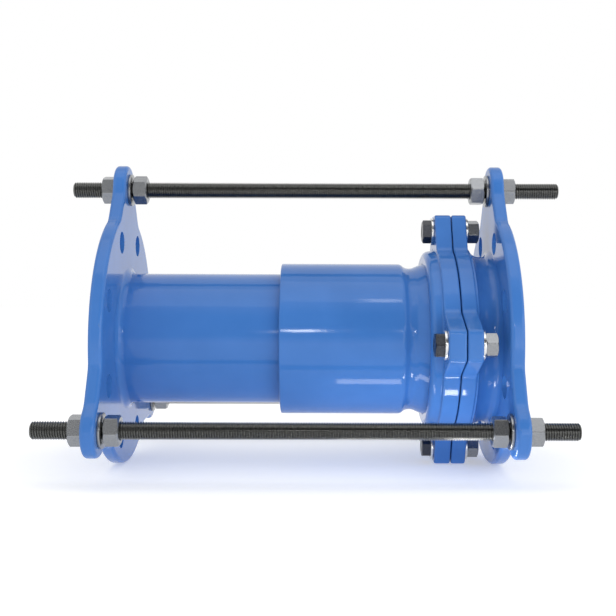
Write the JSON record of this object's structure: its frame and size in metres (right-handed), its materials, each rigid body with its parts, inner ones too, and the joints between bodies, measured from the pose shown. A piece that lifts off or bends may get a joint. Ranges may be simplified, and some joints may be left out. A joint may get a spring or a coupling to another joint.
{
  "type": "dismantling joint",
  "caption": "Restrained telescopic dismantling joint: a flanged pipe slides in a ball-ended sleeve held in a flanged bell by a gland, with threaded tie rods.",
  "frame": {"origin": "centre of the bell flange's sealing face, on the pipe's axis", "axes": "+X along the pipe, out of the bell flange; +Z towards the top tie rod; +Y to the back"},
  "size_m": [0.4349, 0.2708, 0.263],
  "materials": {
    "blue_coating": "gloss epoxy over cast iron",
    "rubber": "matt",
    "rod_steel": "oiled black thread",
    "nut_steel": "zinc plate",
    "bolt_steel": "dark plate",
    "washer_steel": "bright plate"
  },
  "bodies": {
    "bell_side": {"ball_gasket": "rubber", "bell_flange": "blue_coating", "gland_bolt_bottom": "bolt_steel", "gland_bolt_front": "bolt_steel", "gland_bolt_rear": "bolt_steel", "gland_bolt_top": "bolt_steel", "gland_nut_bottom": "nut_steel", "gland_nut_front": "nut_steel", "gland_nut_rear": "nut_steel", "gland_nut_top": "nut_steel", "gland_ring": "blue_coating", "gland_washer_head_bottom": "washer_steel", "gland_washer_head_front": "washer_steel", "gland_washer_head_rear": "washer_steel", "gland_washer_head_top": "washer_steel", "gland_washer_nut_bottom": "washer_steel", "gland_washer_nut_front": "washer_steel", "gland_washer_nut_rear": "washer_steel", "gland_washer_nut_top": "washer_steel", "lip_seal": "rubber", "telescopic_sleeve": "blue_coating", "tie_nut_bell_inner_front": "nut_steel", "tie_nut_bell_inner_rear": "nut_steel", "tie_nut_bell_inner_top": "nut_steel", "tie_nut_bell_outer_front": "nut_steel", "tie_nut_bell_outer_rear": "nut_steel", "tie_nut_bell_outer_top": "nut_steel", "tie_rod_front": "rod_steel", "tie_rod_rear": "rod_steel", "tie_rod_top": "rod_steel", "tie_washer_bell_front": "nut_steel", "tie_washer_bell_rear": "nut_steel", "tie_washer_bell_top": "nut_steel"},
    "spigot_side": {"flanged_spigot": "blue_coating", "tie_nut_spigot_inner_front": "nut_steel", "tie_nut_spigot_inner_rear": "nut_steel", "tie_nut_spigot_inner_top": "nut_steel", "tie_nut_spigot_outer_front": "nut_steel", "tie_nut_spigot_outer_rear": "nut_steel", "tie_nut_spigot_outer_top": "nut_steel", "tie_washer_spigot_front": "nut_steel", "tie_washer_spigot_rear": "nut_steel", "tie_washer_spigot_top": "nut_steel"}
  },
  "joints": [
    {"name": "telescope_slide", "type": "slide", "parent": "bell_side", "child": "spigot_side", "axis": [1, 0, 0], "range_m": [-0.02, 0.06]}
  ]
}
